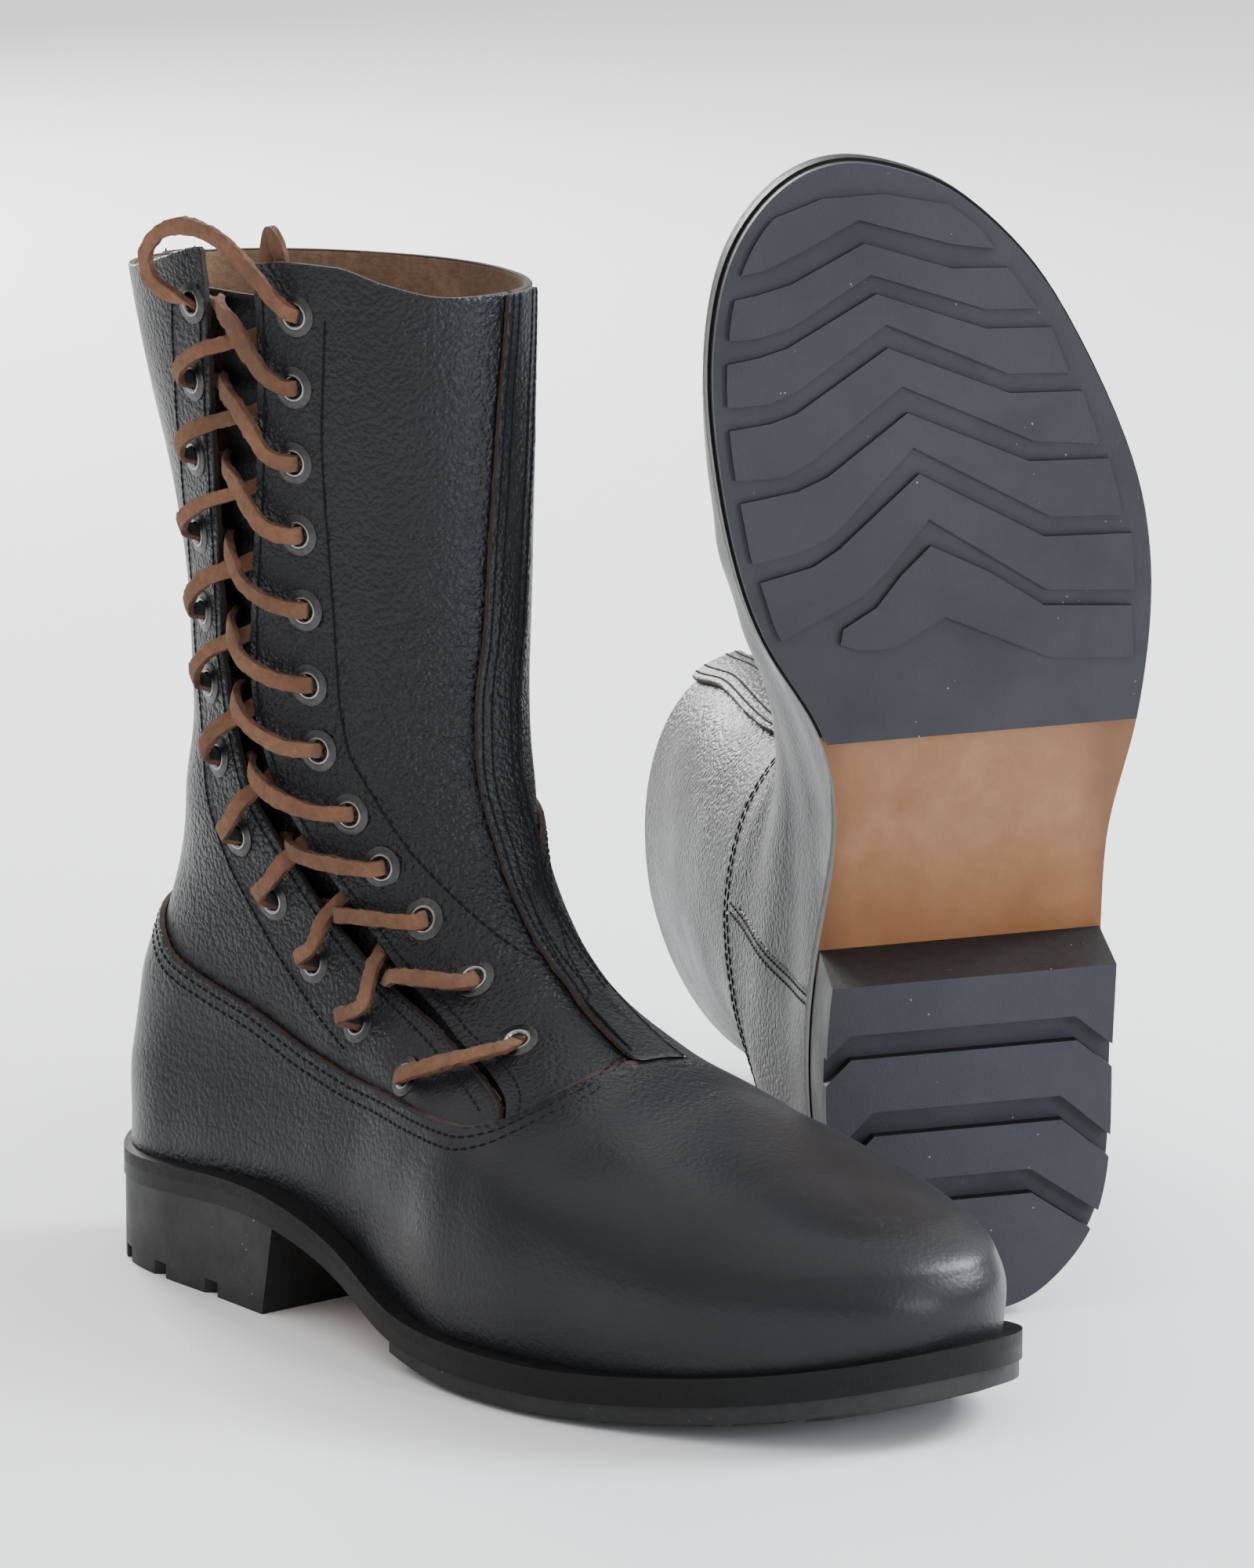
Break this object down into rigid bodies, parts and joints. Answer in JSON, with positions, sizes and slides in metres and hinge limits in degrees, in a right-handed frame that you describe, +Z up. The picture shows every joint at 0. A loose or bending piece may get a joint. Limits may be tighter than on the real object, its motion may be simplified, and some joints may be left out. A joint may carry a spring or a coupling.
{
  "type": "side-lacing leather boots",
  "caption": "Tall side-lacing leather boots with rubber heel and half sole; the right boot stands and the left lies on its back.",
  "frame": {"origin": "middle of the pair's bounding box, on the floor that both boots rest on", "axes": "+Z up, +Y away along the lying left boot's leg, +X to the right of a viewer who faces the left boot's sole"},
  "size_m": [0.2614, 0.4144, 0.3049],
  "materials": {
    "upper_leather": "pebble-grained, semi-gloss black",
    "tongue_leather": "soft matt black",
    "edge_leather": "black-dyed, waxed edge",
    "sole_leather": "smooth natural sole leather, dyed black at the edge",
    "insole_leather": "matt natural",
    "stiffener": "fibre board",
    "lace_leather": "brown rawhide with one dyed face",
    "rubber": "matt slate",
    "cork": "granulated cork",
    "spring_steel": "plain",
    "eyelet_metal": "gunmetal",
    "brass": "plain"
  },
  "bodies": {
    "right_foot": {"right_back_strip_lower": "upper_leather", "right_cork_filler": "cork", "right_eyelets_lower": "eyelet_metal", "right_front_panel_lower": "upper_leather", "right_galosh": "upper_leather", "right_half_sole": "rubber", "right_heel_block": "rubber", "right_heel_counter": "stiffener", "right_heel_nails": "brass", "right_inner_panel_lower": "upper_leather", "right_inner_quarter": "upper_leather", "right_insole": "insole_leather", "right_lace_lower": "lace_leather", "right_midsole": "sole_leather", "right_rear_panel_lower": "upper_leather", "right_shank": "spring_steel", "right_shin_strip_lower": "upper_leather", "right_toe_puff": "stiffener", "right_tongue_lower": "tongue_leather", "right_welt": "edge_leather"},
    "right_leg": {"right_back_strip_upper": "upper_leather", "right_eyelets_upper": "eyelet_metal", "right_front_panel_upper": "upper_leather", "right_inner_panel_upper": "upper_leather", "right_lace_upper": "lace_leather", "right_rear_panel_upper": "upper_leather", "right_shin_strip_upper": "upper_leather", "right_tongue_upper": "tongue_leather"},
    "left_foot": {"left_back_strip_lower": "upper_leather", "left_cork_filler": "cork", "left_eyelets_lower": "eyelet_metal", "left_front_panel_lower": "upper_leather", "left_galosh": "upper_leather", "left_half_sole": "rubber", "left_heel_block": "rubber", "left_heel_counter": "stiffener", "left_heel_nails": "brass", "left_inner_panel_lower": "upper_leather", "left_inner_quarter": "upper_leather", "left_insole": "insole_leather", "left_lace_lower": "lace_leather", "left_midsole": "sole_leather", "left_rear_panel_lower": "upper_leather", "left_shank": "spring_steel", "left_shin_strip_lower": "upper_leather", "left_toe_puff": "stiffener", "left_tongue_lower": "tongue_leather", "left_welt": "edge_leather"},
    "left_leg": {"left_back_strip_upper": "upper_leather", "left_eyelets_upper": "eyelet_metal", "left_front_panel_upper": "upper_leather", "left_inner_panel_upper": "upper_leather", "left_lace_upper": "lace_leather", "left_rear_panel_upper": "upper_leather", "left_shin_strip_upper": "upper_leather", "left_tongue_upper": "tongue_leather"}
  },
  "joints": [
    {"name": "right_leg_flex", "type": "hinge", "parent": "right_foot", "child": "right_leg", "pos_m": [-0.07451, -0.01423, 0.1], "axis": [0.8434, 0.5373, 0], "range_deg": [-20, 15], "stiffness_Nm_per_rad": 3},
    {"name": "left_boot_lift", "type": "slide", "parent": "right_foot", "child": "left_foot", "axis": [0, 0, 1], "range_m": [0, 0.25]},
    {"name": "left_leg_flex", "type": "hinge", "parent": "left_foot", "child": "left_leg", "pos_m": [0.08087, 0.02152, 0.07523], "axis": [0.9983, 0, 0.0576], "range_deg": [-20, 15], "stiffness_Nm_per_rad": 3}
  ]
}
